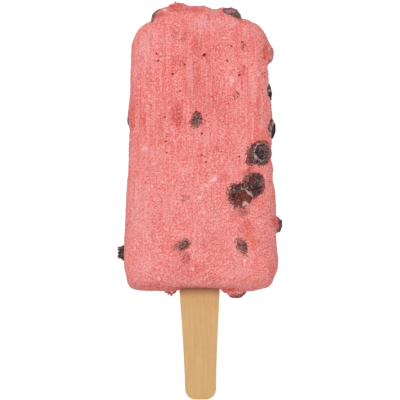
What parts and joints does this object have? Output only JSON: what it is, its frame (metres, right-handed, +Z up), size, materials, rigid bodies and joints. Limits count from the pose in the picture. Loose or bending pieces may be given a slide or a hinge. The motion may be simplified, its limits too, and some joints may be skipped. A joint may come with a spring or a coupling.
{
  "type": "ice pop",
  "caption": "Frozen fruit bar with a rounded top and small dark berries set in it, on a flat flared wooden stick; it lies on its flat back.",
  "frame": {"origin": "middle of the box round the whole pop in X and Y, on the surface that its flat back lies on", "axes": "+Y along the pop from the stick's handle to the rounded top, +X across it, +Z up out of the shown face"},
  "size_m": [0.0606, 0.1472, 0.0251],
  "materials": {
    "pulp": "frozen strawberry pulp, pink with red juice stains, granular and slightly frosted",
    "berry_skin": "dark purple to blue-black berry skin, wrinkled, with light frost flecks",
    "berry_flesh": "torn berry, dark red flesh and skin with a cream fleck, wet",
    "stick_wood": "plain pale birch, smooth, uncoated, with fine grain along its length"
  },
  "bodies": {
    "root": {"bar": "pulp", "stick": "stick_wood", "berry_crowned": "berry_skin", "berry_whole": "berry_skin", "berry_torn": "berry_flesh", "berry_peep_mid": "berry_skin", "berry_peep_left": "berry_skin", "berry_peep_right": "berry_skin", "berry_top_right": "berry_skin", "berry_top_left": "berry_skin", "berry_right_high": "berry_skin", "berry_right_mid": "berry_skin", "berry_right_low": "berry_skin", "berry_left_mid": "berry_skin", "berry_left_low": "berry_skin", "berry_base": "berry_skin", "berry_back_1": "berry_skin", "berry_back_2": "berry_skin", "berry_back_3": "berry_skin", "berry_back_4": "berry_skin", "berry_back_5": "berry_skin"}
  },
  "joints": []
}
